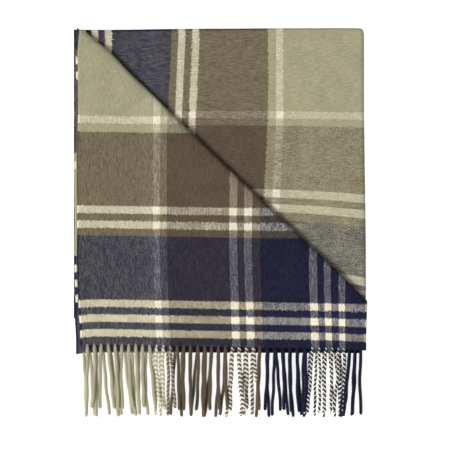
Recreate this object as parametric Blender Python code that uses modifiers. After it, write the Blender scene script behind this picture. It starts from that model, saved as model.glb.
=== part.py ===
"""A folded, fringed plaid throw in the size of a wrap: one length of cloth and the twisted tassels of its two ends.

The cloth is folded in half end to end, so both fringes lie together at the front. The doubled strip is then
turned under along a diagonal, turned under again at the left edge of the pile and once more at the right edge.
Eight layers lie in the pile. Level 0 is the top layer and level 7 lies on the table.

Metres, +Z up, +X to the right, +Y away from the fringe. The origin is under the middle of the pile.
"""

from math import cos, hypot, pi, sin

import bmesh
import bpy
from mathutils import Vector

MM = 0.001

# Cloth
LOOM_WIDTH = 350 * MM
CLOTH_LENGTH = 2028 * MM
CLOTH_THICKNESS = 1.6 * MM
LAYER_GAP = 0.4 * MM
LAYER_PITCH = CLOTH_THICKNESS + LAYER_GAP
LAYERS = 8

# Pile
LEFT_PEEK = 4.5 * MM  # the lower layers show this much beyond the top panel's left selvedge
RIGHT_INSET = 1.6 * MM  # the right fold lies this far inside the top panel's right selvedge
APRON_LENGTH = 33 * MM  # the top panel reaches this much further forward than the layers under it
DIAGONAL_LIFT = 21.5 * MM  # the diagonal fold ends this far above the front edge of the layers under it
BACK_HEM_LEAD = 9.7 * MM  # the back hem lies this much further forward than the front hem
BEND_ZONE = 30 * MM  # each side of a fold, where the cloth gives a little to go round it
BEND_STEPS = 4
DRAPE_STEPS = 4

# Fringe
TASSELS_PER_END = 41
EVEN_TASSELS = 25  # the first ones stand at an even pitch
DRIFT = 5 * MM  # and the others stand up to this much further right
DRIFT_PERIOD = 34  # tassels
TASSEL_DIAMETER = 3.6 * MM
TASSEL_LENGTH = 77.6 * MM
TASSEL_TRIM = 2.5 * MM  # how much shorter the shortest ones are
TASSEL_STEPS = 4
TASSELS_PER_BACK_NODE = 3
PAIR_LEAN = 1.2 * MM
SWAY = 2.0 * MM
SWAY_PERIOD = 14  # tassels
TOUCH_GAP = 0.3 * MM
CLIMB_RUN = BACK_HEM_LEAD * 0.9  # a front tassel has climbed onto the back ones within this length
HEADING_DIAMETER = 1.5 * MM  # the bunched warp ends at the roots of a back group

# Stripes across the loom, from the left selvedge: yarn and width
WARP_STRIPES = [
    ("sage", 91), ("cream", 8.5), ("sage", 8.5), ("brown", 75), ("cream", 8.5), ("brown", 8.5),
    ("cream", 9.5), ("brown", 9.5), ("navy", 59), ("cream", 9.5), ("navy", 8.5), ("cream", 8.5),
    ("navy", 9.5), ("cream", 8.5), ("navy", 27.5),
]
YARN_COLOURS = {
    "sage": (0.392, 0.367, 0.235),
    "cream": (0.807, 0.768, 0.631),
    "brown": (0.115, 0.084, 0.051),
    "navy": (0.018, 0.019, 0.040),
}
CLOTH_COLOUR = (0.17, 0.15, 0.12)
YARN_ROUGHNESS = 0.9

# Derived places
TOP_PANEL_LENGTH = LOOM_WIDTH + APRON_LENGTH  # front hem to the top corner, along the left selvedge
DIAGONAL_DROP = LOOM_WIDTH - DIAGONAL_LIFT  # how far the diagonal fold falls over the loom width
PILE_WIDTH = LOOM_WIDTH + LEFT_PEEK
PILE_LENGTH = TOP_PANEL_LENGTH + BACK_HEM_LEAD + TOUCH_GAP + TASSEL_LENGTH
LEFT_X = -PILE_WIDTH / 2  # outside of the left fold
PANEL_LEFT_X = LEFT_X + LEFT_PEEK  # the top panel's left selvedge
RIGHT_X = PILE_WIDTH / 2 - RIGHT_INSET  # outside of the right fold
TOP_Y = PILE_LENGTH / 2
FRONT_HEM_Y = TOP_Y - TOP_PANEL_LENGTH
BACK_HEM_Y = FRONT_HEM_Y - BACK_HEM_LEAD
BUNDLE_Y = TOP_Y - LOOM_WIDTH  # the bottom edge of the layers under the top panel
TASSEL_PITCH = LOOM_WIDTH / (TASSELS_PER_END + 1)
LOOP_RUN = (CLOTH_LENGTH - BACK_HEM_LEAD) / 2  # front hem to the far end of the doubled strip
DIAGONAL_LENGTH = hypot(LOOM_WIDTH, DIAGONAL_DROP)
DIAGONAL_NORMAL = Vector((DIAGONAL_DROP, LOOM_WIDTH)) / DIAGONAL_LENGTH  # away from the top panel
# Levels of the front and the back half of the cloth on each of the four panels
FRONT_LEVELS = (0, 3, 4, 7)
BACK_LEVELS = (1, 2, 5, 6)


def height(level):
    """Middle of the cloth's thickness at a level."""
    return (LAYERS - 1 - level) * LAYER_PITCH + CLOTH_THICKNESS / 2


# The three folds, as runs along the doubled strip from the front hem. Each is straight across the cloth.
def diagonal_run(u):
    return TOP_PANEL_LENGTH - DIAGONAL_DROP * u / LOOM_WIDTH


def left_run(u):
    return diagonal_run(u) + PANEL_LEFT_X + u - LEFT_X


def right_run(u):
    return left_run(u) + RIGHT_X - LEFT_X


def loop_run(u):
    return LOOP_RUN


RUNS = (diagonal_run, left_run, right_run)


def run_normal(run):
    """The unit vector across a fold in the flat cloth, towards the far end."""
    slope = (run(LOOM_WIDTH) - run(0)) / LOOM_WIDTH
    return Vector((-slope, 1)).normalized()


def bend_sizes(levels, fold):
    """Radius of a fold and how far its outermost line lies inside the pile's edge."""
    radius = abs(levels[fold + 1] - levels[fold]) * LAYER_PITCH / 2
    widest = max(
        abs(FRONT_LEVELS[fold + 1] - FRONT_LEVELS[fold]),
        abs(BACK_LEVELS[fold + 1] - BACK_LEVELS[fold]),
    )
    return radius, widest * LAYER_PITCH / 2 - radius + CLOTH_THICKNESS / 2


def bend_scale(radius, inset):
    """Length round the fold for each metre of the bend zone."""
    return (BEND_ZONE - inset + (pi / 2 - 1) * radius) / BEND_ZONE


def bend(distance, radius, inset):
    """How far a fold moves a point outwards, and the share of the level change it has made there."""
    if abs(distance) >= BEND_ZONE:
        return 0.0, float(distance > 0)
    along = distance * bend_scale(radius, inset)
    if abs(along) < pi * radius / 2:
        reach = -inset - radius + radius * cos(along / radius)
        share = (1 + sin(along / radius)) / 2
    else:
        reach = -inset - radius - (abs(along) - pi * radius / 2)
        share = float(along > 0)
    return reach + abs(distance), share


def panel_place(u, run):
    """Where a point of the doubled strip lies when every fold is creased flat."""
    if run < diagonal_run(u):
        return PANEL_LEFT_X + u, FRONT_HEM_Y + run
    line_x = PANEL_LEFT_X + u
    line_y = FRONT_HEM_Y + diagonal_run(u)
    if run < left_run(u):
        way = (run - diagonal_run(u)) / (left_run(u) - diagonal_run(u))
        return line_x - (run - diagonal_run(u)), line_y + (TOP_Y - u - line_y) * way
    if run < right_run(u):
        return LEFT_X + run - left_run(u), TOP_Y - u
    return RIGHT_X - (run - right_run(u)), TOP_Y - u


def drape(y):
    """1 on the pile, falling to 0 where the top panel reaches the table in front of it."""
    start = BUNDLE_Y - LAYER_GAP
    end = FRONT_HEM_Y + CLOTH_THICKNESS
    return min(max((y - end) / (start - end), 0.0), 1.0)


def folded(u, v):
    """Place in the pile of the flat cloth's point u across and v along it."""
    on_front = v < LOOP_RUN
    levels = FRONT_LEVELS if on_front else BACK_LEVELS
    run = v if on_front else CLOTH_LENGTH - BACK_HEM_LEAD - v
    x, y = panel_place(u, run)
    z = height(levels[0])
    outwards = (DIAGONAL_NORMAL, Vector((-1, 0)), Vector((1, 0)))
    for fold, fold_run in enumerate(RUNS):
        distance = (run - fold_run(u)) * run_normal(fold_run).y
        moved, share = bend(distance, *bend_sizes(levels, fold))
        x += moved * outwards[fold].x
        y += moved * outwards[fold].y
        z += share * (height(levels[fold + 1]) - height(levels[fold]))
    # The loop at the far end joins the two halves.
    radius = LAYER_PITCH / 2
    moved, share = bend(v - LOOP_RUN, radius, 0)
    x -= moved
    half_step = height(BACK_LEVELS[-1]) - height(FRONT_LEVELS[-1])
    z += share * half_step if on_front else (share - 1) * half_step
    if run < diagonal_run(u):
        rest = CLOTH_THICKNESS / 2 + (LAYER_PITCH if on_front else 0)
        z = rest + (z - rest) * drape(y)
    # Where two folds run out at a corner, the cloth is patted straight along the pile's edges.
    x = min(max(x, LEFT_X + CLOTH_THICKNESS / 2), PILE_WIDTH / 2)
    return x, min(y, TOP_Y), z


def cut_across(mesh, run, offset, on_front):
    """Cuts the flat cloth along a line at a distance from a fold."""
    normal = run_normal(run)
    place = Vector((0, run(0))) + normal * offset
    if not on_front:
        place.y = CLOTH_LENGTH - BACK_HEM_LEAD - place.y
        normal.y = -normal.y
    bmesh.ops.bisect_plane(
        mesh,
        geom=mesh.verts[:] + mesh.edges[:] + mesh.faces[:],
        dist=1e-6,
        plane_co=place.to_3d(),
        plane_no=normal.to_3d(),
    )


def bend_offsets(radius, inset):
    """Cuts that a fold needs: the ends of its zone, and the steps round it."""
    quarter = pi * radius / 2 / bend_scale(radius, inset)
    steps = [quarter * (2 * step / BEND_STEPS - 1) for step in range(BEND_STEPS + 1)]
    return [-BEND_ZONE, *steps, BEND_ZONE]


def make_folded_cloth(collection):
    mesh = bmesh.new()
    bmesh.ops.create_grid(mesh, x_segments=1, y_segments=1, size=0.5)
    for vert in mesh.verts:
        vert.co.x = (vert.co.x + 0.5) * LOOM_WIDTH
        vert.co.y = (vert.co.y + 0.5) * CLOTH_LENGTH
    for on_front, levels in ((True, FRONT_LEVELS), (False, BACK_LEVELS)):
        for fold, run in enumerate(RUNS):
            for offset in bend_offsets(*bend_sizes(levels, fold)):
                cut_across(mesh, run, offset, on_front)
        for step in range(DRAPE_STEPS + 1):
            start = BUNDLE_Y - LAYER_GAP - FRONT_HEM_Y
            end = CLOTH_THICKNESS
            cut_across(mesh, lambda u, s=step: end + (start - end) * s / DRAPE_STEPS, 0, on_front)
    for offset in bend_offsets(LAYER_PITCH / 2, 0):
        cut_across(mesh, loop_run, offset, True)
    for vert in mesh.verts:
        vert.co = folded(vert.co.x, vert.co.y)
    bmesh.ops.triangulate(mesh, faces=mesh.faces[:])
    data = bpy.data.meshes.new("folded_cloth")
    mesh.to_mesh(data)
    mesh.free()
    cloth = bpy.data.objects.new("folded_cloth", data)
    thickness = cloth.modifiers.new("thickness", "SOLIDIFY")
    thickness.thickness = CLOTH_THICKNESS
    thickness.offset = 0
    data.materials.append(material("plaid_cloth", CLOTH_COLOUR))
    collection.objects.link(cloth)


def material(name, colour):
    found = bpy.data.materials.get(name)
    if found:
        return found
    made = bpy.data.materials.new(name)
    made.use_nodes = True
    shader = made.node_tree.nodes["Principled BSDF"]
    shader.inputs["Base Color"].default_value = (*colour, 1)
    shader.inputs["Roughness"].default_value = YARN_ROUGHNESS
    shader.inputs["Metallic"].default_value = 0
    return made


def yarn_at(u):
    """The warp yarn at a distance from the left selvedge."""
    edge = 0
    for yarn, width in WARP_STRIPES:
        edge += width * MM
        if u < edge:
            return yarn
    return WARP_STRIPES[-1][0]


def tassel_u(index):
    """Distance of a tassel's root from the left selvedge."""
    drift = DRIFT * sin(2 * pi * max(index - EVEN_TASSELS, 0) / DRIFT_PERIOD)
    return (index + 1) * TASSEL_PITCH + drift


def tassel_material(index):
    """A tassel is twisted from the warp ends beside it, so at a stripe's edge it mixes two yarns."""
    u = tassel_u(index)
    first, second = yarn_at(u - TASSEL_PITCH / 4), yarn_at(u + TASSEL_PITCH / 4)
    if first == second:
        return material(f"{first}_yarn", YARN_COLOURS[first])
    name = "_".join(sorted((first, second))) + "_twist"
    mixed = [(a + b) / 2 for a, b in zip(YARN_COLOURS[first], YARN_COLOURS[second])]
    return material(name, mixed)


def tassel_root(index, hem_y, root_z):
    return Vector((PANEL_LEFT_X + tassel_u(index), hem_y - TOUCH_GAP, root_z))


def tassel_points(index, phase, rise):
    """Points from the root to the tip. Neighbours lean together in pairs, and all of them sway a little."""
    tip_x = PAIR_LEAN * (1 if index % 2 == 0 else -1)
    tip_x += SWAY * sin(2 * pi * (index + phase) / SWAY_PERIOD)
    length = TASSEL_LENGTH - TASSEL_TRIM * (1 + sin(index * 2.4 + phase)) / 2
    points = [(0, 0, 0)]
    climb = CLIMB_RUN / length
    for step in range(TASSEL_STEPS + 1):
        way = climb + (1 - climb) * step / TASSEL_STEPS
        points.append((tip_x * way * way, -length * way, rise))
    return points


def tube(name, root, points, diameter):
    curve = bpy.data.curves.new(name, "CURVE")
    curve.dimensions = "3D"
    curve.bevel_depth = diameter / 2
    curve.bevel_resolution = 1
    curve.use_fill_caps = True
    spline = curve.splines.new("POLY")
    spline.points.add(len(points) - 1)
    for knot, point in zip(spline.points, points):
        knot.co = (*point, 1)
    made = bpy.data.objects.new(name, curve)
    made.location = root
    return made


def make_front_tassels(collection):
    root_z = CLOTH_THICKNESS + LAYER_GAP + TASSEL_DIAMETER / 2
    rise = 3 * TASSEL_DIAMETER / 2 + 2 * TOUCH_GAP - root_z
    for index in range(TASSELS_PER_END):
        root = tassel_root(index, FRONT_HEM_Y, root_z)
        points = tassel_points(index, 0, rise)
        tassel = tube(f"front_tassel_{index + 1:02d}", root, points, TASSEL_DIAMETER)
        tassel.data.materials.append(tassel_material(index))
        collection.objects.link(tassel)


def solid_mesh(curve_object):
    """The closed mesh of a tube, in its object's place."""
    bpy.context.scene.collection.objects.link(curve_object)
    bpy.context.view_layer.update()
    graph = bpy.context.evaluated_depsgraph_get()
    data = bpy.data.meshes.new_from_object(curve_object.evaluated_get(graph))
    mesh = bmesh.new()
    mesh.from_mesh(data)
    bmesh.ops.remove_doubles(mesh, verts=mesh.verts[:], dist=1e-6)
    bmesh.ops.recalc_face_normals(mesh, faces=mesh.faces[:])
    mesh.to_mesh(data)
    mesh.free()
    made = bpy.data.objects.new(curve_object.name + "_solid", data)
    made.matrix_world = curve_object.matrix_world
    bpy.data.objects.remove(curve_object)
    return made


def make_back_group(number, indices, collection, helpers):
    """Neighbouring back tassels, joined by the bunched warp ends at their roots."""
    root_z = TASSEL_DIAMETER / 2
    roots = [tassel_root(index, BACK_HEM_Y, root_z) for index in indices]
    name = f"back_tassels_{number:02d}"
    lowest = Vector((0, -HEADING_DIAMETER / 2, HEADING_DIAMETER / 2 + TOUCH_GAP - root_z))
    across = Vector((roots[-1].x - roots[0].x, 0, 0))
    heading = solid_mesh(tube(name, roots[0], [lowest, lowest + across], HEADING_DIAMETER))
    heading.name = name
    heading.data.materials.append(tassel_material(indices[0]))
    collection.objects.link(heading)
    for index, root in zip(indices, roots):
        points = tassel_points(index, 5, 0)
        rope = solid_mesh(tube(f"{name}_{index}", root, points, TASSEL_DIAMETER))
        rope.hide_render = True
        rope.display_type = "WIRE"
        helpers.objects.link(rope)
        joined = heading.modifiers.new(f"tassel_{index}", "BOOLEAN")
        joined.operation = "UNION"
        joined.object = rope


def make_back_tassels(collection, helpers):
    for first in range(0, TASSELS_PER_END, TASSELS_PER_BACK_NODE):
        indices = range(first, min(first + TASSELS_PER_BACK_NODE, TASSELS_PER_END))
        make_back_group(first // TASSELS_PER_BACK_NODE + 1, indices, collection, helpers)


def main():
    for old in list(bpy.data.objects):
        bpy.data.objects.remove(old)
    throw = bpy.data.collections.new("folded_throw")
    helpers = bpy.data.collections.new("cutters")
    bpy.context.scene.collection.children.link(throw)
    bpy.context.scene.collection.children.link(helpers)
    make_folded_cloth(throw)
    make_front_tassels(throw)
    make_back_tassels(throw, helpers)


main()
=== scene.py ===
"""Looks of a folded, fringed plaid throw: the woven cloth, its twisted fringe and a plain studio.

The cloth is one sheet, woven flat and then folded by rule. Every point of it has a place u across
the loom and v along the warp, and the folding sends it to its place in the pile. The stripes are
woven by u and v too, so the pattern goes round every fold as it does on real cloth.

Metres, +Z up, +X to the right, +Y away from the fringe.
"""

from math import pi

import bpy
import numpy as np
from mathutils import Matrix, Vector


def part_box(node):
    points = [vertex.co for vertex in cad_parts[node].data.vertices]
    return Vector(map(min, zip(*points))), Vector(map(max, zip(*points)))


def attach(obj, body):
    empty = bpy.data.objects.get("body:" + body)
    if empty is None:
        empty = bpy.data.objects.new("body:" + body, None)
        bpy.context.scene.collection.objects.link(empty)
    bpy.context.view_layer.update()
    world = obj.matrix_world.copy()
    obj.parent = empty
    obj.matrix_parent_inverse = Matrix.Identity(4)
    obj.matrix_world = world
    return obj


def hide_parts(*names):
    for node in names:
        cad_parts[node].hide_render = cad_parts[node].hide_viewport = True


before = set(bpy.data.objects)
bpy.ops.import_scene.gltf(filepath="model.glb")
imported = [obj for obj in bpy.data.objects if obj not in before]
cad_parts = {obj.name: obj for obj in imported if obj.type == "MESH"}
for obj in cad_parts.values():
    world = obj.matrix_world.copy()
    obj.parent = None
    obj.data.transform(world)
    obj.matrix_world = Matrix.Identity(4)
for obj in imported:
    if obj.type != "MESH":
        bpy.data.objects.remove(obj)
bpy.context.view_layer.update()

MM = 0.001

# ---------------------------------------------------------------- sizes of the cloth and its pile

LOOM_WIDTH = 350 * MM
CLOTH_LENGTH = 2028 * MM
CLOTH_THICKNESS = 1.5 * MM  # 0.1 mm less than the CAD's, to leave room where the layers slant
LAYER_PITCH = 2.0 * MM
LAYERS = 8
# Levels of the cloth's front and back half on the four panels of the pile. Level 0 is the top one.
FRONT_LEVELS = (0, 3, 4, 7)
BACK_LEVELS = (1, 2, 5, 6)

cloth_low, cloth_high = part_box("folded_cloth")
LEFT_X = cloth_low.x  # outside of the left fold
RIGHT_X = cloth_high.x - 2.0 * MM  # outside of the right fold
TOP_Y = cloth_high.y - 1.3 * MM
BACK_HEM_Y = cloth_low.y
BACK_HEM_LEAD = 9.7 * MM  # the back hem lies this much further forward than the front hem
FRONT_HEM_Y = BACK_HEM_Y + BACK_HEM_LEAD
PANEL_LEFT_X = LEFT_X + 4.5 * MM  # the top panel's left selvedge
BUNDLE_Y = TOP_Y - LOOM_WIDTH  # front edge of the layers under the top panel
LOOP_X = -85 * MM  # where the doubled cloth ends, under the pile
LOOP_RUN = (CLOTH_LENGTH - BACK_HEM_LEAD) / 2
TOP_PANEL_LENGTH = TOP_Y - FRONT_HEM_Y
DIAGONAL_DROP = 328.5 * MM  # how far the diagonal fold falls over the loom width
BEND_ZONE = 30 * MM  # each side of a fold, where the cloth gives a little to go round it

# Points across the loom, and rows on each half's four panels and on each side of its folds
COLUMNS = 92
EDGE_FINENESS = 0.35  # share of the columns' spacing that closes up at the selvedges
FOLD_FINENESS = 3.2  # the higher it is, the closer the rows lie next to a fold
FRONT_ROWS = ((84, 14, 80, 10), 10)
BACK_ROWS = ((60, 12, 24, 10), 8)

# ---------------------------------------------------------------- how the soft cloth has slackened

# A pair says where a change begins, and the length that it comes in over.

# The diagonal fold. A bulge has its height, its place across the loom and its reach to each side.
DIAGONAL_BULGES = ((3.5 * MM, 85 * MM, 45 * MM), (4.4 * MM, 38 * MM, 18 * MM))
DIAGONAL_RISE = 2.0 * MM
RISE_BEGINS = (105 * MM, 40 * MM)
RISE_ENDS = (235 * MM, 40 * MM)
DIAGONAL_SLACK = 4.2 * MM
SLACK_BEGINS = (200 * MM, 110 * MM)
ROLL_THINNING = 0.33  # share of its height over the lower panels that the fold's roll loses
ROLL_REACH = 6.3 * MM

# The top panel: its wefts fall to the right, and its warps lean right towards the hem.
HEM_SLIP = 2.2 * MM  # the front hem's middle lies this much further forward than a square one's
PANEL_SHRINK = 0.0045  # share of the panel's length that has been taken up
WEFT_FALL = 0.0175
HEM_ZONE = 125 * MM
HEM_ZONE_EASING = 1.2
WARP_LEAN = 3.9 * MM
LEAN_UNDONE = 1.05  # share of the lean that is undone at the right selvedge
LEAN_UNDONE_FROM = (295 * MM, 55 * MM)
RIGHT_DRAWN_IN = 1.1 * MM
DRAWN_IN_FROM = (240 * MM, 110 * MM)
LEFT_HELD_IN = 0.5 * MM
LEFT_BOW = 1.3 * MM
LEFT_BOW_FROM = (170 * MM, 140 * MM)
LEFT_BOW_REACH = 60 * MM
LEFT_WAVE = 0.5 * MM
LEFT_WAVE_LENGTH = 140 * MM
LEFT_WAVE_REACH = 30 * MM
LEFT_CORNER_FALL = 2.6 * MM
LEFT_CORNER_WIDTH = 10 * MM
LEFT_CORNER_LENGTH = 175 * MM
RIGHT_CORNER_FALL = 1.4 * MM
RIGHT_CORNER = (300 * MM, 50 * MM)

# The back half of that panel hangs straighter, and peeks out at the left selvedge.
BACK_FALL_UNDONE = 0.0145
BACK_PEEK = 2.3 * MM
BACK_PEEK_LOW = 1.0 * MM  # more beside the lower part of the pile
BACK_PEEK_TABLE = 3.2 * MM  # and more again where it lies on the table
LOW_PART_ENDS = (235 * MM, 8 * MM)
TABLE_PART_ENDS = (34 * MM, 18 * MM)
BACK_PEEK_REACH = 25 * MM
BACK_DRAWN_IN = 4.8 * MM
BACK_DRAWN_IN_LENGTH = 60 * MM

# The least length of the second panel at the left selvedge, and how that grows across the loom
SECOND_PANEL_LEAST = 1.5 * MM
SECOND_PANEL_GROWTH = 0.8

# The third panel is a little shorter than it was woven: its weft lines lie closer, and lean left.
SQUEEZE = 0.926
ANCHOR_X = -30 * MM  # where one weft line of the third panel lies
ANCHOR_RUN = 545.75 * MM  # and that line's run
WEFT_LEAN = 0.047
LEAN_START_X = -40 * MM
LEAN_START_SLOPE = 0.95
EASED_X = 70 * MM  # from here to the right the weft lines lie less close
EASED_SHARE = 0.06
INVERSE_ROUNDS = 8

# The warp lines of the three lower panels fan out to the right.
FAN_SPREAD = 1.1243
FAN_EASING = 0.175
FAN_CLOSING = 0.484
FAN_DEPTH = 205 * MM
FAN_X = 166 * MM
FAN_REACH = 110 * MM
FAN_LIMIT = 290 * MM  # beyond this depth the warp lines are packed into what is left
TOP_EDGE_DROOP = 2.4 * MM  # the pile's top edge falls by this much to the left

# Edges of the pile
UPPER_TUCK = 2.4 * MM  # the two upper panels stay this much inside the top edge
FOLD_TUCK = 0.1 * MM  # the right fold lies this much further in
TOP_TUCK = 2.1 * MM  # and this much more towards the top edge
TOP_TUCK_ENDS = (70 * MM, 190 * MM)
TUCK_BEGINS = (60 * MM, 110 * MM)
CORNER_TUCK = 2.4 * MM
CORNER_DROP = 1.8 * MM
CORNER_SIZE = 2.5 * MM
CORNER_DEPTH = 8 * MM
LOOP_RAMP = (LOOP_X - 12 * MM, 26 * MM)
EDGE_THINNING = 0.12
EDGE_REACH = 10 * MM
APRON_FLAT = 5 * MM  # the top panel lies flat for this length next to its hem
APRON_RISE = BUNDLE_Y - FRONT_HEM_Y + 4 * MM

# Long soft waves: how many in a metre across and along, where they begin, and their share
WAVES = ((7.1, 2.3, 0.6, 1.0), (-3.9, 8.3, 2.1, 1.0), (15.0, 11.0, 0.0, 0.7))
WAVE_HEIGHT = 0.28 * MM
WAVE_FULL_AT = 8 * MM  # the height in the pile from which they are at full strength

# ---------------------------------------------------------------- stripes and yarns

# Yarn and width in millimetres: across the loom from the left selvedge, and along the cloth from
# the front hem
WARP_STRIPES = [
    ("sage", 91), ("cream", 8.5), ("sage", 8.5), ("brown", 75), ("cream", 8.5), ("brown", 8.5),
    ("cream", 9.5), ("brown", 9.5), ("navy", 59), ("cream", 9.5), ("navy", 8.5), ("cream", 8.5),
    ("navy", 9.5), ("cream", 8.5), ("navy", 27.5),
]
WEFT_STRIPES = [
    ("navy", 9.5), ("cream", 8.5), ("navy", 9.5), ("cream", 8.5), ("navy", 9.5), ("cream", 8.5),
    ("navy", 77.5), ("brown", 9.5), ("cream", 8.5), ("brown", 9.5), ("cream", 9.5), ("brown", 89.5),
    ("sage", 9.5), ("cream", 9.5), ("sage", 105),
]
CLOTH_YARNS = {"sage": "#A6A183", "cream": "#EAE3CA", "brown": "#5D5040", "navy": "#1F1F36"}
ROPE_YARNS = {"sage": "#BAB596", "cream": "#F2EDDB", "brown": "#63533F", "navy": "#20203A"}
# How much of the cloth's face the weft covers. The cream weft is a thinner yarn.
WEFT_COVER = {"sage": 0.66, "cream": 0.48, "brown": 0.68, "navy": 0.69}
YARN_PITCH = 0.85 * MM  # from one yarn to the next
# The raised fibres are too fine to show, so the nap is drawn as streaks this coarse.
NAP_WIDTH = 0.9 * MM
NAP_LENGTH = 7 * MM
SPECK_SIZE = 1.5 * MM  # fine unevenness of the brushing
CLOUD_SIZE = 22 * MM  # and its broad unevenness
FEATHER_U = 2.4 * MM  # how far the edges of the warp stripes are feathered
FEATHER_V = 7 * MM  # and those of the weft stripes
SELVEDGE = 2.0 * MM  # width of the edge where the weft turns

# ---------------------------------------------------------------- fringe

TASSELS_PER_END = 41
TASSELS_PER_BACK_NODE = 3
TASSEL_PITCH = LOOM_WIDTH / (TASSELS_PER_END + 1)
EVEN_TASSELS = 25  # the first ones stand at an even pitch
DRIFT = 5 * MM  # and the others stand up to this much further right
DRIFT_PERIOD = 34  # tassels
TASSEL_DIAMETER = 4.6 * MM
TWIST_PITCH = 5.4 * MM  # one full turn of the two plies
WAIST = 0.38  # share of its thickness that a rope lacks between its plies
GROOVE_SHADE = 0.27  # share of the colour that painted shade takes away there
# Fibres are too fine to show, so they are drawn as tufts about 0.4 mm wide and 1.4 mm long.
TUFTS_PER_RADIUS = 6.0
TUFTS_PER_METRE = 700.0
# Thickness of each kind of rope, as a share of TASSEL_DIAMETER
ROPE_WIDTHS = {
    ("sage", "sage"): 1.1,
    ("brown", "brown"): 1.07,
    ("navy", "navy"): 1.07,
    ("brown", "cream"): 1.12,
    ("cream", "navy"): 0.88,
}
ROPE_SIZES = {"Rope diameter": TASSEL_DIAMETER, "Twist pitch": TWIST_PITCH, "Ring spacing": 0.56 * MM}
ROPE_STEPS = 44
ROPE_LENGTH = 76.5 * MM
LENGTH_SPREAD = (-1.5 * MM, 1.2 * MM)
ROOT_INSIDE = 1.5 * MM  # a rope begins this far inside the hem
LEAN_EASING = 1.35
BOW = 1.6 * MM
WIGGLE = 0.4 * MM
WIGGLE_TURNS = (1.5, 2.5)
ROOT_GIRTH = 0.5  # share of the full thickness at the root
ROOT_SHARE = 1 / 13  # of the length, over which the rope reaches it
TIP_TAPER = 0.35
TIP_SHARE = 0.03
HEM_SHARE = 0.1  # of the length, over which a rope comes down from the height of its hem
TOUCH_SHARE = 0.86  # ropes that lie on each other press in a little
HEAP_LIMIT = 3.2  # diameters, the highest that a rope's middle line lies
HEAP_SMOOTHING = 3  # steps to each side
ROPE_SEED = 7
# The back roots stand to the left of the front ones: by most near the left selvedge, by little in
# the middle, and by more again at the right.
BACK_SHIFT = 4.0 * MM
BACK_SHIFT_BEGINS = (0, 30 * MM)
BACK_SHIFT_UNDONE = 0.7
BACK_SHIFT_ENDS = (95 * MM, 50 * MM)
RIGHT_SHIFT = 2.0 * MM
RIGHT_SHIFT_BEGINS = (265 * MM, 25 * MM)

# How far each tip lies to the right of its root, in whole millimetres, read from the real
# fringe, tassel by tassel. The back ones are partly hidden, and some of theirs are guesses.
FRONT_LEANS = [
    -1, -3, -1, 7, 4, 1, 5, 4, 2, 7, 6, 2, 6, 2, 0, 1, -2, -2, -2, 1, 2,
    -3, 6, 0, 8, -2, -4, 6, 1, 1, 1, 0, -6, 0, -1, -2, -6, -1, -8, -3, 0,
]
BACK_LEANS = [
    3, 5, 0, 7, 9, 4, 9, 4, 0, 2, 3, 0, 0, -5, -1, 1, -7, -1, -8, -3, -6,
    -7, 7, -6, 0, -4, 3, -3, 7, 5, 6, 0, -6, -2, 1, 7, 7, -1, -5, -7, -4,
]


def smooth(t):
    """0 below 0, 1 above 1 and a soft step between."""
    t = np.clip(t, 0, 1)
    return t * t * (3 - 2 * t)


def step(value, begins, length):
    """A soft step that begins at a value and comes in over a length."""
    return smooth((value - begins) / length)


def linear(hex_colour):
    """Linear RGBA of an sRGB hex colour."""
    parts = [int(hex_colour[i : i + 2], 16) / 255 for i in (1, 3, 5)]
    return (*[p / 12.92 if p <= 0.04045 else ((p + 0.055) / 1.055) ** 2.4 for p in parts], 1)


# ---------------------------------------------------------------- folding the cloth


def height(level):
    """Middle of the cloth's thickness at a level."""
    return (LAYERS - 1 - level) * LAYER_PITCH + CLOTH_THICKNESS / 2


# The folds, as runs along the doubled strip from the front hem


def diagonal_run(u):
    swell = sum(rise * np.exp(-(((u - middle) / reach) ** 2)) for rise, middle, reach in DIAGONAL_BULGES)
    swell = swell + DIAGONAL_RISE * step(u, *RISE_BEGINS) * (1 - step(u, *RISE_ENDS))
    slack = DIAGONAL_SLACK * step(u, *SLACK_BEGINS)
    start = TOP_PANEL_LENGTH + HEM_SLIP + PANEL_SHRINK * TOP_PANEL_LENGTH
    return start - (1 + PANEL_SHRINK) * DIAGONAL_DROP * u / LOOM_WIDTH + swell + slack


def weft_lean(u, x):
    """How far a weft line of the third panel has moved to the left by depth u."""
    straight = np.maximum((x - LEAN_START_X) * LEAN_START_SLOPE, 0)
    return WEFT_LEAN * np.maximum(u - straight, 0)


def third_panel_run(u, x):
    """The run of the cloth that lies at x on the third panel."""
    eased = EASED_SHARE * np.maximum(x - EASED_X, 0)
    return ANCHOR_RUN + (x - ANCHOR_X + weft_lean(u, x)) / SQUEEZE - eased


def third_panel_x(u, run):
    """The other way round: where a run lies on the third panel."""
    x = ANCHOR_X + (run - ANCHOR_RUN) * SQUEEZE
    for _ in range(INVERSE_ROUNDS):
        x = x + (run - third_panel_run(u, x)) * SQUEEZE
    return x


def left_run(u):
    least = diagonal_run(u) + SECOND_PANEL_LEAST + SECOND_PANEL_GROWTH * u
    return np.maximum(third_panel_run(u, LEFT_X), least)


def right_run(u):
    return third_panel_run(u, RIGHT_X)


def fanned(u, x):
    """Depth at which a warp line lies at x, where the warp lines fan out freely."""
    spread = FAN_SPREAD * u - FAN_EASING * u * u
    reach = FAN_REACH * (1 - np.exp(-(FAN_X - x) / FAN_REACH))
    return spread * (1 - FAN_CLOSING * u / FAN_DEPTH * reach)


def depth_in_bundle(u, x):
    """Distance from the pile's top edge to a warp line of the three lower panels."""
    limit = fanned(FAN_LIMIT, x)
    packed = limit + (LOOM_WIDTH - limit) * (u - FAN_LIMIT) / (LOOM_WIDTH - FAN_LIMIT)
    return np.where(u < FAN_LIMIT, fanned(u, x), packed)


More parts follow.
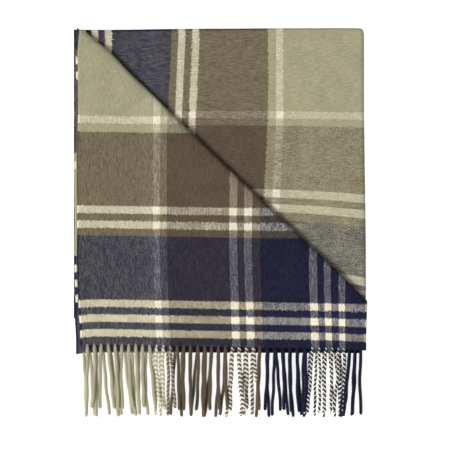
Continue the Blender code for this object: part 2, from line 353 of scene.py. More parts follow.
def bundle_place(u, x):
    droop = TOP_EDGE_DROOP * ((RIGHT_X - x) / (RIGHT_X - LEFT_X)) ** 2
    return x, TOP_Y - droop * (1 - u / LOOM_WIDTH) - depth_in_bundle(u, x)


def top_panel_place(u, run, on_front):
    """Where the top panel lies, a little out of square."""
    near_hem = np.maximum(1 - np.maximum(run, 0) / HEM_ZONE, 0) ** HEM_ZONE_EASING
    at_right = step(u, *RIGHT_CORNER)
    x = PANEL_LEFT_X + u + WARP_LEAN * near_hem * (1 - LEAN_UNDONE * step(u, *LEAN_UNDONE_FROM))
    x -= RIGHT_DRAWN_IN * step(u, *DRAWN_IN_FROM)
    x += (LEFT_BOW * step(run, *LEFT_BOW_FROM) - LEFT_HELD_IN) * np.exp(-u / LEFT_BOW_REACH)
    x += LEFT_WAVE * np.sin(2 * pi * run / LEFT_WAVE_LENGTH + 1) * np.exp(-u / LEFT_WAVE_REACH)
    y = FRONT_HEM_Y - HEM_SLIP + (1 - PANEL_SHRINK) * run - WEFT_FALL * (u - LOOM_WIDTH / 2)
    y -= RIGHT_CORNER_FALL * near_hem * at_right
    y -= LEFT_CORNER_FALL * np.exp(-u / LEFT_CORNER_WIDTH) * (1 - smooth(run / LEFT_CORNER_LENGTH))
    if not on_front:
        y += (BACK_FALL_UNDONE * u + RIGHT_CORNER_FALL * at_right) * near_hem
        on_table = 1 - step(run, *TABLE_PART_ENDS)
        low = (1 - step(run, *LOW_PART_ENDS)) * (1 - on_table)
        peek = BACK_PEEK + BACK_PEEK_LOW * low + BACK_PEEK_TABLE * on_table
        x -= peek * np.exp(-u / BACK_PEEK_REACH)
        x -= BACK_DRAWN_IN * at_right * (1 - smooth(run / BACK_DRAWN_IN_LENGTH))
    return x, y


def panel_place(u, run, on_front):
    """Where the cloth lies when every fold is creased flat, seen from above."""
    top_x, top_y = top_panel_place(u, run, on_front)
    first, second, third = diagonal_run(u), left_run(u), right_run(u)
    # The second panel runs from the diagonal to the left fold.
    way = (run - first) / (second - first)
    line_x, line_y = top_panel_place(u, first, on_front)
    left_x, left_y = bundle_place(u, LEFT_X)
    second_x = line_x + (left_x - line_x) * way
    second_y = line_y + (left_y - line_y) * smooth(way)
    # The third panel runs back to the right fold, and the fourth under it to the loop.
    left_gap = LEFT_X - third_panel_x(u, second)
    third_x = third_panel_x(u, run) + left_gap * (third - run) / (third - second)
    fourth_x = RIGHT_X - (RIGHT_X - LOOP_X) * (run - third) / (LOOP_RUN - third)
    third_y = bundle_place(u, third_x)[1]
    fourth_y = bundle_place(u, fourth_x)[1]
    on = [run < first, run < second, run < third]
    x = np.select(on, [top_x, second_x, third_x], fourth_x)
    return x, np.select(on, [top_y, second_y, third_y], fourth_y)


def bend(distance, levels, fold):
    """How far a fold moves the cloth outwards, and the share of its change of level made there."""
    radius = abs(levels[fold + 1] - levels[fold]) * LAYER_PITCH / 2
    widest = max(abs(side[fold + 1] - side[fold]) for side in (FRONT_LEVELS, BACK_LEVELS))
    return bend_of(distance, radius, widest * LAYER_PITCH / 2 - radius + CLOTH_THICKNESS / 2)


def bend_of(distance, radius, inset):
    """The same for a fold of one radius, with its outermost line inside the pile's edge by inset."""
    along = distance * (BEND_ZONE - inset + (pi / 2 - 1) * radius) / BEND_ZONE
    turn = np.clip(along / radius, -pi / 2, pi / 2)
    straight = np.maximum(np.abs(along) - pi * radius / 2, 0)
    moved = radius * np.cos(turn) - inset - radius - straight + np.abs(distance)
    inside = np.abs(distance) < BEND_ZONE
    return np.where(inside, moved, 0), np.where(inside, (1 + np.sin(turn)) / 2, distance > 0)


def across(run, u, fold_run):
    """Distance from a fold, square to it in the flat cloth."""
    slope = np.gradient(fold_run(u[0]), u[0])
    return (run - fold_run(u)) / np.sqrt(1 + slope * slope)


def folded(u, run, on_front):
    """Places in the pile of a grid of the flat cloth. Each row of it crosses the whole loom."""
    levels = FRONT_LEVELS if on_front else BACK_LEVELS
    x, y = panel_place(u, run, on_front)
    z = np.full_like(x, height(levels[0]))
    slant = Vector((DIAGONAL_DROP, LOOM_WIDTH)).normalized()
    folds = ((diagonal_run, slant), (left_run, (-1, 0)), (right_run, (1, 0)))
    for fold, (fold_run, out) in enumerate(folds):
        moved, share = bend(across(run, u, fold_run), levels, fold)
        x = x + moved * out[0]
        y = y + moved * out[1]
        z = z + share * (height(levels[fold + 1]) - height(levels[fold]))
    moved, share = bend_of(run - LOOP_RUN, LAYER_PITCH / 2, 0)
    x = x - moved
    z = z + share * LAYER_PITCH / 2 * (1 if on_front else -1)
    x = np.clip(x, LEFT_X + CLOTH_THICKNESS / 2, None)
    on_top_panel = run < diagonal_run(u)
    upper = run < (diagonal_run(u) + left_run(u)) / 2
    y = np.minimum(y, TOP_Y - np.where(upper, UPPER_TUCK, 0))
    # The right fold lies further in towards the top edge, and its corner is rounded.
    tuck = FOLD_TUCK + TOP_TUCK * (1 - step(u, *TOP_TUCK_ENDS)) + CORNER_TUCK * np.exp(-u / CORNER_SIZE)
    rounded = CORNER_DROP * np.exp((x - RIGHT_X) / CORNER_SIZE - u / CORNER_DEPTH)
    x = x - np.where(on_top_panel, 0, tuck * step(x, *TUCK_BEGINS))
    y = y - np.where(on_top_panel, 0, rounded)
    # The two upper panels thin out towards the diagonal fold, so that it is a low soft roll.
    thin = ROLL_THINNING * np.exp(-np.abs(across(run, u, diagonal_run)) / ROLL_REACH)
    bed = height(FRONT_LEVELS[2])
    z = z - np.where(upper, np.maximum(z - bed, 0) * thin, 0)
    return x, y, settled(x, y, z, on_top_panel, on_front)


def settled(x, y, z, on_top_panel, on_front):
    """Heights once the cloth has settled on what lies under it."""
    # Left of the loop the two lowest layers are missing.
    gone = 1 - step(x, *LOOP_RAMP)
    z = np.maximum(z - 2 * LAYER_PITCH * gone, CLOTH_THICKNESS / 2)
    # The pile is thinner at its front edge, and the top panel hangs over it down to the table.
    z = z * (1 - EDGE_THINNING * np.exp(-np.maximum(y - BUNDLE_Y, 0) / EDGE_REACH))
    rest = CLOTH_THICKNESS / 2 + (LAYER_PITCH if on_front else 0)
    way = step(y, FRONT_HEM_Y + APRON_FLAT, APRON_RISE)
    z = np.where(on_top_panel, rest + np.maximum(z - rest, 0) * way, z)
    # The waves are the same in every layer, and there are none on the table.
    wave = 0
    for many_across, many_along, begin, share in WAVES:
        wave = wave + share * np.sin(2 * pi * (x * many_across + y * many_along) + begin)
    z = z + WAVE_HEIGHT * wave * np.clip(z / WAVE_FULL_AT, 0, 1)
    return np.maximum(z, CLOTH_THICKNESS / 2)


def row_runs(stations):
    """Rows of the grid between neighbouring stations. A fold's own rows are closest next to it."""
    rows = []
    for (start, _, _), (end, count, finest) in zip(stations, stations[1:]):
        t = np.arange(count) / count
        if finest == "end":
            t = 1 - np.sinh(FOLD_FINENESS * (1 - t)) / np.sinh(FOLD_FINENESS)
        elif finest == "start":
            t = np.sinh(FOLD_FINENESS * t) / np.sinh(FOLD_FINENESS)
        rows.extend(start + (end - start) * way for way in t)
    rows.append(stations[-1][0])
    return np.array(rows)


def half_grid(u, counts, first_run):
    """Runs of the grid's rows on one half of the cloth, from its hem to the loop."""
    diagonal, left, right = diagonal_run(u), left_run(u), right_run(u)
    near = np.minimum(BEND_ZONE, (left - diagonal) / 2)
    before = np.minimum(BEND_ZONE, (diagonal - first_run) / 2)
    panels, folds = counts
    stations = [
        (first_run + 0 * u, 0, ""),
        (diagonal - before, panels[0], ""),
        (diagonal, folds, "end"),
        (diagonal + near, folds, "start"),
        (left - near, panels[1], ""),
        (left, folds, "end"),
        (left + BEND_ZONE, folds, "start"),
        (right - BEND_ZONE, panels[2], ""),
        (right, folds, "end"),
        (right + BEND_ZONE, folds, "start"),
        (LOOP_RUN - BEND_ZONE + 0 * u, panels[3], ""),
        (LOOP_RUN + 0 * u, folds, "end"),
    ]
    return row_runs(stations)


def make_cloth():
    t = np.linspace(0, 1, COLUMNS)
    u = LOOM_WIDTH * ((1 - EDGE_FINENESS) * t + EDGE_FINENESS * (1 - np.cos(pi * t)) / 2)
    front_runs = half_grid(u, FRONT_ROWS, 0)
    back_runs = half_grid(u, BACK_ROWS, -BACK_HEM_LEAD)[-2::-1]
    places = []
    for runs, on_front in ((front_runs, True), (back_runs, False)):
        places.append(np.stack(folded(np.broadcast_to(u, runs.shape), runs, on_front), axis=-1))
    points = np.concatenate(places).reshape(-1, 3)
    v = np.concatenate((front_runs, CLOTH_LENGTH - BACK_HEM_LEAD - back_runs))
    rows = len(v)
    corner = (np.arange(rows - 1)[:, None] * COLUMNS + np.arange(COLUMNS - 1)).ravel()
    faces = np.stack((corner, corner + COLUMNS, corner + COLUMNS + 1, corner + 1), axis=-1)
    mesh = bpy.data.meshes.new("plaid_cloth")
    mesh.from_pydata(points.tolist(), [], faces.tolist())
    flat = np.stack((np.broadcast_to(u, v.shape), v), axis=-1).reshape(-1, 2)
    weave = mesh.uv_layers.new(name="weave")
    weave.data.foreach_set("uv", flat[faces.ravel()].astype(np.float32).ravel())
    mesh.shade_smooth()
    cloth = bpy.data.objects.new("plaid_cloth", mesh)
    bpy.context.scene.collection.objects.link(cloth)
    body = cloth.modifiers.new("thickness", "SOLIDIFY")
    body.thickness = CLOTH_THICKNESS
    body.offset = 0
    body.use_quality_normals = True
    mesh.materials.append(brushed_plaid_twill())
    return cloth


# ---------------------------------------------------------------- materials


def add_node(tree, kind, inputs=(), **settings):
    """Adds a node with its settings. An input takes a value, or the node or output to link from."""
    node = tree.nodes.new(kind)
    for name, value in settings.items():
        setattr(node, name, value)
    for name, value in dict(inputs).items():
        if isinstance(value, bpy.types.Node):
            value = value.outputs[0]
        if isinstance(value, bpy.types.NodeSocket):
            tree.links.new(value, node.inputs[name])
        else:
            node.inputs[name].default_value = value
    return node


def new_material(name, roughness, sheen):
    """A Principled material with the even values that yarn and cloth share."""
    material = bpy.data.materials.new(name)
    material.use_nodes = True
    shader = material.node_tree.nodes["Principled BSDF"]
    shader.inputs["Roughness"].default_value = roughness
    shader.inputs["Specular IOR Level"].default_value = 0.12
    shader.inputs["IOR"].default_value = 1.45
    shader.inputs["Sheen Weight"].default_value = sheen
    shader.inputs["Sheen Roughness"].default_value = 0.5
    return material, material.node_tree, shader


def stripes(tree, place, pattern):
    """A stripe pattern's ramp over a place from 0 to 1. Alpha is the yarn's cover as a weft."""
    whole = sum(width for _, width in pattern)
    ramp = add_node(tree, "ShaderNodeValToRGB", {"Fac": place})
    ramp.color_ramp.interpolation = "CONSTANT"
    points = ramp.color_ramp.elements
    edge = 0
    for index, (yarn, width) in enumerate(pattern):
        point = points[0] if index == 0 else points.new(edge / whole)
        point.color = (*linear(CLOTH_YARNS[yarn])[:3], WEFT_COVER[yarn])
        edge += width
    points.remove(points[-1])
    return ramp


def brushed_plaid_twill():
    """Acrylic and wool yarn in a balanced 2/2 twill, brushed on both faces.

    Warp and weft both show, the weft a little more, and the raised fibres blend the two colours.
    Brushing leaves a soft nap that runs along the warp and feathers the edges of the weft stripes,
    on a matte surface with a slight bloom.
    """
    material, tree, shader = new_material("brushed_plaid_twill", 0.92, 0.08)
    weave = add_node(tree, "ShaderNodeUVMap", uv_map="weave")
    flat = add_node(tree, "ShaderNodeSeparateXYZ", {0: weave})
    # Nap: streaks along the warp. Its three colours are three separate draws of the same streaks.
    combed = (1 / NAP_WIDTH, 1 / NAP_LENGTH, 1)
    along = add_node(tree, "ShaderNodeVectorMath", {0: weave, 1: combed}, operation="MULTIPLY")
    nap = add_node(tree, "ShaderNodeTexNoise", {"Vector": along, "Scale": 1.0, "Detail": 2.0})
    draws = add_node(tree, "ShaderNodeSeparateXYZ", {0: nap.outputs["Color"]})
    drag, cover, bloom = draws.outputs
    clouds = {"Vector": weave, "Scale": 1 / CLOUD_SIZE, "Detail": 3.0}
    clouds = add_node(tree, "ShaderNodeTexNoise", clouds)
    specks = {"Vector": weave, "Scale": 1 / SPECK_SIZE, "Detail": 1.0}
    specks = add_node(tree, "ShaderNodeTexNoise", specks)
    # The edges of the stripes are feathered: far along the warp, little along the weft.
    push_u = add_node(
        tree, "ShaderNodeMath", {0: specks, 1: FEATHER_U, 2: -FEATHER_U / 2}, operation="MULTIPLY_ADD"
    )
    push_v = add_node(
        tree, "ShaderNodeMath", {0: drag, 1: FEATHER_V, 2: -FEATHER_V / 2}, operation="MULTIPLY_ADD"
    )
    u = add_node(tree, "ShaderNodeMath", {0: flat.outputs["X"], 1: push_u}, operation="ADD")
    v = add_node(tree, "ShaderNodeMath", {0: flat.outputs["Y"], 1: push_v}, operation="ADD")
    # Feathering doesn't carry the front hem past the start of the pattern.
    v = add_node(tree, "ShaderNodeMath", {0: v, 1: 0.1 * MM}, operation="MAXIMUM")
    repeat = sum(width for _, width in WEFT_STRIPES) * MM
    place_u = add_node(tree, "ShaderNodeMath", {0: u, 1: LOOM_WIDTH}, operation="DIVIDE")
    place_v = add_node(tree, "ShaderNodeMath", {0: v, 1: repeat}, operation="DIVIDE")
    place_v = add_node(tree, "ShaderNodeMath", {0: place_v}, operation="FRACT")
    warp = stripes(tree, place_u, WARP_STRIPES)
    weft = stripes(tree, place_v, WEFT_STRIPES)
    # Twill: the weft goes over two warp ends and under two, one end further along in each row.
    column = add_node(tree, "ShaderNodeMath", {0: u, 1: YARN_PITCH}, operation="DIVIDE")
    column = add_node(tree, "ShaderNodeMath", {0: column}, operation="FLOOR")
    row = add_node(tree, "ShaderNodeMath", {0: v, 1: YARN_PITCH}, operation="DIVIDE")
    row = add_node(tree, "ShaderNodeMath", {0: row}, operation="FLOOR")
    order = add_node(tree, "ShaderNodeMath", {0: column, 1: row}, operation="ADD")
    order = add_node(tree, "ShaderNodeMath", {0: order, 1: 4.0}, operation="DIVIDE")
    order = add_node(tree, "ShaderNodeMath", {0: order}, operation="FRACT")
    weft_up = add_node(tree, "ShaderNodeMath", {0: order, 1: 0.49}, operation="LESS_THAN")
    # The outermost warp ends are covered by the turning weft.
    half = LOOM_WIDTH / 2
    off = add_node(tree, "ShaderNodeMath", {0: flat.outputs["X"], 1: half}, operation="SUBTRACT")
    off = add_node(tree, "ShaderNodeMath", {0: off}, operation="ABSOLUTE")
    turned = add_node(tree, "ShaderNodeMath", {0: off, 1: half - SELVEDGE}, operation="GREATER_THAN")
    share = weft.outputs["Alpha"]
    # What changes the weft's cover, how strongly, and the value at which it changes nothing
    for part, effect, middle in (
        (weft_up, 0.3, 0.5),
        (cover, 0.9, 0.5),
        (specks, 0.55, 0.5),
        (clouds, 0.25, 0.5),
        (turned, 0.4, 0.0),
    ):
        share = add_node(tree, "ShaderNodeMath", {0: part, 1: effect, 2: share}, operation="MULTIPLY_ADD")
        share = add_node(tree, "ShaderNodeMath", {0: share, 1: effect * middle}, operation="SUBTRACT")
    share.use_clamp = True
    # Two colours of fibre look evenly mixed in lightness, about the cube root of their colour.
    warp_light = add_node(tree, "ShaderNodeGamma", {"Color": warp.outputs["Color"], "Gamma": 1 / 3})
    weft_light = add_node(tree, "ShaderNodeGamma", {"Color": weft.outputs["Color"], "Gamma": 1 / 3})
    lightness = add_node(
        tree, "ShaderNodeMix", {0: share, 6: warp_light, 7: weft_light}, data_type="RGBA"
    ).outputs[2]
    for part, effect in ((bloom, 0.19), (specks, 0.09), (clouds, 0.07)):
        change = {0: part, 1: effect, 2: -effect / 2}
        change = add_node(tree, "ShaderNodeMath", change, operation="MULTIPLY_ADD")
        lightness = add_node(tree, "ShaderNodeVectorMath", {0: lightness, 1: change}, operation="ADD")
    colour = add_node(tree, "ShaderNodeGamma", {"Color": lightness, "Gamma": 3.0})
    tree.links.new(colour.outputs[0], shader.inputs["Base Color"])
    # Relief: each yarn is a low rib where it lies on top, under the nap.
    ribs = []
    for place in (u, v):
        turn = add_node(tree, "ShaderNodeMath", {0: place, 1: pi / YARN_PITCH}, operation="MULTIPLY")
        rib = add_node(tree, "ShaderNodeMath", {0: turn}, operation="SINE")
        ribs.append(add_node(tree, "ShaderNodeMath", {0: rib}, operation="ABSOLUTE"))
    top_rib = add_node(tree, "ShaderNodeMix", {0: weft_up, 2: ribs[0], 3: ribs[1]})
    relief = add_node(tree, "ShaderNodeMath", {0: top_rib, 1: 0.4, 2: bloom}, operation="MULTIPLY_ADD")
    bump = add_node(tree, "ShaderNodeBump", {"Height": relief, "Strength": 0.5, "Distance": 0.3 * MM})
    tree.links.new(bump.outputs["Normal"], shader.inputs["Normal"])
    return material


def twisted_yarn(first, second):
    """Two plies of brushed yarn twisted into a rope, as knotless fringes are.

    Each ply has the colour of the warp ends it was made from. The plies keep their full colour
    along their crowns, painted shade darkens the groove between them, and fine fibres run round them.
    """
    name = f"{first}_yarn_rope" if first == second else f"{first}_and_{second}_rope"
    # A navy ply shows less of the bloom.
    sheen = 0.06 if "navy" in (first, second) else 0.25
    material, tree, shader = new_material(name, 0.88, sheen)
    ply = add_node(tree, "ShaderNodeAttribute", attribute_name="ply").outputs["Fac"]
    rim = add_node(tree, "ShaderNodeAttribute", attribute_name="rim").outputs["Fac"]
    along = add_node(tree, "ShaderNodeAttribute", attribute_name="along").outputs["Fac"]
    # A cream ply twisted with a navy one is the thinner of the two.
    seam = 0.25 * ((first == "cream") - (second == "cream")) if "navy" in (first, second) else 0.0
    on_second = add_node(tree, "ShaderNodeMath", {0: ply, 1: seam}, operation="LESS_THAN")
    pair = {0: on_second, 6: linear(ROPE_YARNS[first]), 7: linear(ROPE_YARNS[second])}
    yarns = add_node(tree, "ShaderNodeMix", pair, data_type="RGBA").outputs[2]
    # Painted shade: the colour darkens towards the groove between the two plies.
    groove = add_node(tree, "ShaderNodeMath", {0: ply}, operation="ABSOLUTE")
    groove = add_node(tree, "ShaderNodeMath", {0: groove, 1: 0.6}, operation="POWER")
    shade = {0: groove, 1: GROOVE_SHADE, 2: 1 - GROOVE_SHADE}
    shade = add_node(tree, "ShaderNodeMath", shade, operation="MULTIPLY_ADD")
    tufts = (TUFTS_PER_RADIUS, TUFTS_PER_RADIUS, TUFTS_PER_METRE)
    spot = add_node(tree, "ShaderNodeCombineXYZ", {"X": ply, "Y": rim, "Z": along})
    spot = add_node(tree, "ShaderNodeVectorMath", {0: spot, 1: tufts}, operation="MULTIPLY")
    fibres = add_node(tree, "ShaderNodeTexNoise", {"Vector": spot, "Scale": 1.0, "Detail": 2.0})
    light = add_node(tree, "ShaderNodeMath", {0: fibres, 1: 0.5, 2: 0.8}, operation="MULTIPLY_ADD")
    light = add_node(tree, "ShaderNodeMath", {0: light, 1: shade}, operation="MULTIPLY")
    colour = add_node(tree, "ShaderNodeVectorMath", {0: yarns, "Scale": light}, operation="SCALE")
    tree.links.new(colour.outputs[0], shader.inputs["Base Color"])
    bump = add_node(tree, "ShaderNodeBump", {"Height": fibres, "Strength": 0.5, "Distance": 0.2 * MM})
    tree.links.new(bump.outputs["Normal"], shader.inputs["Normal"])
    return material


# ---------------------------------------------------------------- fringe


def yarn_at(u):
    """The warp yarn at a distance from the left selvedge."""
    edge = 0
    for yarn, width in WARP_STRIPES:
        edge += width * MM
        if u < edge:
            return yarn
    return WARP_STRIPES[-1][0]


def tassel_u(index):
    drift = DRIFT * np.sin(2 * pi * max(index - EVEN_TASSELS, 0) / DRIFT_PERIOD)
    return (index + 1) * TASSEL_PITCH + drift


def tassel_plies(index):
    """The yarns of a tassel's two plies, from the warp ends left and right of its middle."""
    u = tassel_u(index)
    return yarn_at(u - TASSEL_PITCH / 4), yarn_at(u + TASSEL_PITCH / 4)


def rope_line(index, on_front, rng):
    """A rope's middle line as seen from above, from a little inside the hem to its tip."""
    u = tassel_u(index)
    run = 0.0 if on_front else -BACK_HEM_LEAD
    x, y = top_panel_place(np.array(u), np.array(run), on_front)
    if not on_front:
        kept = 1 - BACK_SHIFT_UNDONE * step(u, *BACK_SHIFT_ENDS)
        x -= BACK_SHIFT * step(u, *BACK_SHIFT_BEGINS) * kept
        x -= RIGHT_SHIFT * step(u, *RIGHT_SHIFT_BEGINS)
    lean = (FRONT_LEANS if on_front else BACK_LEANS)[index] * MM
    length = ROPE_LENGTH + rng.uniform(*LENGTH_SPREAD)
    t = np.linspace(0, 1, ROPE_STEPS)
    bow = rng.uniform(-BOW, BOW)
    wiggle = WIGGLE * np.sin(2 * pi * (t * rng.uniform(*WIGGLE_TURNS) + rng.uniform()))
    line_x = x + lean * t**LEAN_EASING + bow * np.sin(pi * t) + wiggle * smooth(t * 3)
    line_y = y + ROOT_INSIDE - (length + ROOT_INSIDE) * t
    return np.stack((line_x, line_y, 0 * t), axis=-1)


def rope_width(index):
    """Thickness of a tassel's rope, as a share of TASSEL_DIAMETER."""
    return ROPE_WIDTHS.get(tuple(sorted(tassel_plies(index))), 1.0)


def rope_girth():
    """Share of its thickness along a rope: narrow where it leaves the hem, and blunt at the tip."""
    t = np.linspace(0, 1, ROPE_STEPS)
    root = ROOT_GIRTH + (1 - ROOT_GIRTH) * smooth(t / ROOT_SHARE)
    return root * (1 - TIP_TAPER * step(t, 1 - TIP_SHARE, TIP_SHARE))


def lay_ropes():
    """Lays the ropes down one by one, each on the table or on those that already lie there."""
    rng = np.random.default_rng(ROPE_SEED)
    ropes = []
    laid = np.empty((0, 3))
    touch = TOUCH_SHARE * TASSEL_DIAMETER
    kernel = np.hanning(2 * HEAP_SMOOTHING + 3)[1:-1]
    for on_front in (False, True):
        for index in range(TASSELS_PER_END):
            line = rope_line(index, on_front, rng)
            radius = TASSEL_DIAMETER / 2 * rope_width(index)
            ground = np.full(ROPE_STEPS, radius)
            if on_front:
                ground += CLOTH_THICKNESS * step(line[:, 1], BACK_HEM_Y - 3 * MM, 3 * MM)
            if len(laid):
                gap = np.hypot(line[:, None, 0] - laid[:, 0], line[:, None, 1] - laid[:, 1])
                lift = laid[:, 2] + np.sqrt(np.maximum(touch**2 - gap**2, 0))
                ground = np.maximum(ground, np.where(gap < touch, lift, 0).max(axis=1))
            ground = np.minimum(ground, HEAP_LIMIT * TASSEL_DIAMETER)
            padded = np.pad(ground, HEAP_SMOOTHING, mode="edge")
            line[:, 2] = np.convolve(padded, kernel / kernel.sum(), mode="valid")
            # The root comes out of the hem at the height of the cloth.
            hem = CLOTH_THICKNESS / 2 + (LAYER_PITCH if on_front else 0)
            leave = smooth(np.linspace(0, 1, ROPE_STEPS) / HEM_SHARE)
            height_here = hem + (line[:, 2] - hem) * leave
            line[:, 2] = np.maximum(height_here, rope_girth() * radius)
            laid = np.concatenate((laid, line))
            ropes.append((index, on_front, line))
    return ropes


def rope_tree():
    """Geometry nodes that spin two plies round every line they are given."""
    tree = bpy.data.node_groups.new("twisted_rope", "GeometryNodeTree")
    socket = tree.interface.new_socket
    socket("Lines", in_out="INPUT", socket_type="NodeSocketGeometry")
    names = {}
    for name, value in ROPE_SIZES.items():
        item = socket(name, in_out="INPUT", socket_type="NodeSocketFloat")
        item.default_value = value
        names[name] = item.identifier
    names["Yarn"] = socket("Yarn", in_out="INPUT", socket_type="NodeSocketMaterial").identifier
    socket("Ropes", in_out="OUTPUT", socket_type="NodeSocketGeometry")
    given = add_node(tree, "NodeGroupInput").outputs
    curve = add_node(tree, "GeometryNodeMeshToCurve", {"Mesh": given["Lines"]})
    curve = add_node(
        tree, "GeometryNodeResampleCurve", {"Curve": curve, "Length": given["Ring spacing"]}, mode="LENGTH"
    )
    along = add_node(tree, "GeometryNodeSplineParameter").outputs["Length"]
    handed = add_node(tree, "GeometryNodeInputNamedAttribute", {"Name": "handed"}, data_type="FLOAT")
    girth = add_node(tree, "GeometryNodeInputNamedAttribute", {"Name": "girth"}, data_type="FLOAT")
    turns = add_node(tree, "ShaderNodeMath", {0: along, 1: given["Twist pitch"]}, operation="DIVIDE")
    tilt = add_node(tree, "ShaderNodeMath", {0: turns, 1: 2 * pi}, operation="MULTIPLY")
    tilt = add_node(tree, "ShaderNodeMath", {0: tilt, 1: handed}, operation="MULTIPLY")
    curve = add_node(tree, "GeometryNodeSetCurveTilt", {"Curve": curve, "Tilt": tilt})
    curve = add_node(
        tree, "GeometryNodeStoreNamedAttribute", {"Geometry": curve, "Name": "along", "Value": along},
        data_type="FLOAT", domain="POINT",
    )
    curve = add_node(tree, "GeometryNodeSetCurveRadius", {"Curve": curve, "Radius": girth})
    # Section of the rope: a peanut, one lobe for each ply
    section = {"Resolution": 14, "Radius": 1.0}
    section = add_node(tree, "GeometryNodeCurvePrimitiveCircle", section)
    here = add_node(tree, "GeometryNodeInputPosition")
    ply, rim, _ = add_node(tree, "ShaderNodeSeparateXYZ", {0: here}).outputs
    for label, value in (("ply", ply), ("rim", rim)):
        section = add_node(
            tree, "GeometryNodeStoreNamedAttribute", {"Geometry": section, "Name": label, "Value": value},
            data_type="FLOAT", domain="POINT",
        )
    lobes = add_node(tree, "ShaderNodeMath", {0: ply, 1: ply}, operation="MULTIPLY")
    lobes = {0: lobes, 1: WAIST, 2: 1 - WAIST}
    lobes = add_node(tree, "ShaderNodeMath", lobes, operation="MULTIPLY_ADD")
    size = add_node(tree, "ShaderNodeMath", {0: given["Rope diameter"], 1: 0.5}, operation="MULTIPLY")
    size = add_node(tree, "ShaderNodeMath", {0: lobes, 1: size}, operation="MULTIPLY")
    spot = add_node(tree, "ShaderNodeVectorMath", {0: here, "Scale": size}, operation="SCALE")
    section = add_node(tree, "GeometryNodeSetPosition", {"Geometry": section, "Position": spot})
    sweep = add_node(
        tree, "GeometryNodeCurveToMesh", {"Curve": curve, "Profile Curve": section, "Fill Caps": True}
    )
    if "Scale" in sweep.inputs:
        tree.links.new(girth.outputs[0], sweep.inputs["Scale"])
    soft = add_node(tree, "GeometryNodeSetShadeSmooth", {"Geometry": sweep})
    real = add_node(tree, "GeometryNodeRealizeInstances", {"Geometry": soft})
    dyed = add_node(tree, "GeometryNodeSetMaterial", {"Geometry": real, "Material": given["Yarn"]})
    add_node(tree, "NodeGroupOutput", {"Ropes": dyed})
    return tree, names


def make_ropes(name, ropes, material, tree, names):
    """One piece: all the ropes of one pair of plies."""
    points = np.concatenate([line for _, _, line in ropes])
    edges = []
    for number in range(len(ropes)):
        first = number * ROPE_STEPS
        edges += [(first + i, first + i + 1) for i in range(ROPE_STEPS - 1)]
    lines = bpy.data.meshes.new(name)
    lines.from_pydata(points.tolist(), edges, [])
    girth = np.concatenate([rope_girth() * rope_width(index) for index, _, _ in ropes])
    handed = np.concatenate([np.full(ROPE_STEPS, -1.0 if front else 1.0) for _, front, _ in ropes])
    for label, values in (("girth", girth), ("handed", handed)):
        attribute = lines.attributes.new(label, "FLOAT", "POINT")
        attribute.data.foreach_set("value", values.astype(np.float32))
    guide = bpy.data.objects.new(name + "_lines", lines)
    bpy.context.scene.collection.objects.link(guide)
    spin = guide.modifiers.new("twist", "NODES")
    spin.node_group = tree
    spin[names["Yarn"]] = material
    for label, value in ROPE_SIZES.items():
        spin[names[label]] = value
    bpy.context.view_layer.update()
    graph = bpy.context.evaluated_depsgraph_get()
    mesh = bpy.data.meshes.new_from_object(guide.evaluated_get(graph))
    bpy.data.objects.remove(guide)
    mesh.name = name
    made = bpy.data.objects.new(name, mesh)
    bpy.context.scene.collection.objects.link(made)
    return made


def stood_for(group):
    """The CAD nodes that a group of ropes stands for."""
    nodes = []
    for index, on_front, _ in group:
        if on_front:
            nodes.append(f"front_tassel_{index + 1:02d}")
        elif index % TASSELS_PER_BACK_NODE == 0:
            nodes.append(f"back_tassels_{index // TASSELS_PER_BACK_NODE + 1:02d}")
    return nodes


def make_fringe():
    tree, names = rope_tree()
    ropes = lay_ropes()
    pairs = sorted({tuple(sorted(tassel_plies(index))) for index in range(TASSELS_PER_END)})
    pieces = []
    for pair in pairs:
        first, second = pair
        group = [rope for rope in ropes if tuple(sorted(tassel_plies(rope[0]))) == pair]
        name = f"{first}_tassels" if first == second else f"{first}_{second}_tassels"
        piece = make_ropes(name, group, twisted_yarn(first, second), tree, names)
        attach(piece, "root")
        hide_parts(*stood_for(group))
        pieces.append(piece)
    return pieces


# ---------------------------------------------------------------- studio

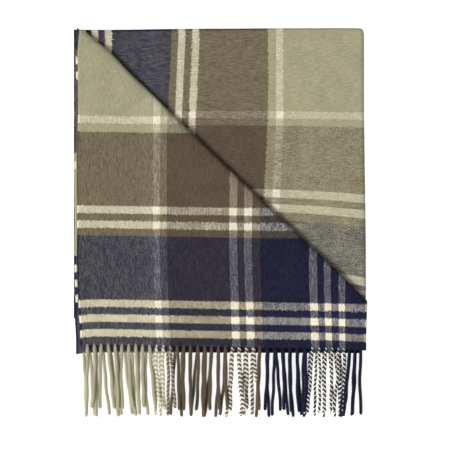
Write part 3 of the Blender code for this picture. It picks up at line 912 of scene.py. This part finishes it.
FIELD_WIDTH = 543.6 * MM  # what the camera sees from side to side at the table
FIELD_CENTRE = (5.4 * MM, -2.7 * MM)
LENS = 400  # millimetres, as is the sensor's width
SENSOR = 36
FLOOR_SIZE = 6
FLOOR_DROP = 0.05 * MM  # leaves a hair of room under the lowest layer
FLOOR_GLOW = 0.9
SKY_STRENGTH = 0.36
LAMP_POWER = 3.1
LAMP_SPREAD = 0.5
LAMP_DIRECTION = (0.62, 0.52, -0.72)


def make_studio():
    scene = bpy.context.scene
    scene.view_settings.view_transform = "Standard"
    bpy.ops.mesh.primitive_plane_add(size=FLOOR_SIZE, location=(0, 0, -FLOOR_DROP))
    floor = bpy.context.object
    floor.name = "floor"
    paint = bpy.data.materials.new("white_paper")
    paint.use_nodes = True
    shader = paint.node_tree.nodes["Principled BSDF"]
    shader.inputs["Base Color"].default_value = (0.5, 0.5, 0.5, 1)
    shader.inputs["Roughness"].default_value = 0.9
    shader.inputs["Specular IOR Level"].default_value = 0.1
    shader.inputs["Emission Color"].default_value = (1, 1, 1, 1)
    shader.inputs["Emission Strength"].default_value = FLOOR_GLOW
    floor.data.materials.append(paint)
    world = bpy.data.worlds.new("soft_studio")
    scene.world = world
    world.use_nodes = True
    sky = world.node_tree.nodes["Background"]
    sky.inputs["Color"].default_value = (1, 1, 1, 1)
    sky.inputs["Strength"].default_value = SKY_STRENGTH
    softbox = bpy.data.lights.new("softbox", "SUN")
    softbox.energy = LAMP_POWER
    softbox.angle = LAMP_SPREAD
    lamp = bpy.data.objects.new("softbox", softbox)
    lamp.rotation_euler = Vector(LAMP_DIRECTION).to_track_quat("-Z", "Y").to_euler()
    scene.collection.objects.link(lamp)
    camera = bpy.data.cameras.new("camera")
    camera.lens = LENS
    camera.sensor_width = SENSOR
    view = bpy.data.objects.new("camera", camera)
    view.location = (*FIELD_CENTRE, FIELD_WIDTH * LENS / SENSOR)
    camera.clip_end = 20
    scene.collection.objects.link(view)
    scene.camera = view


make_studio()
cloth = make_cloth()
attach(cloth, "root")
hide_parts("folded_cloth")
fringe = make_fringe()
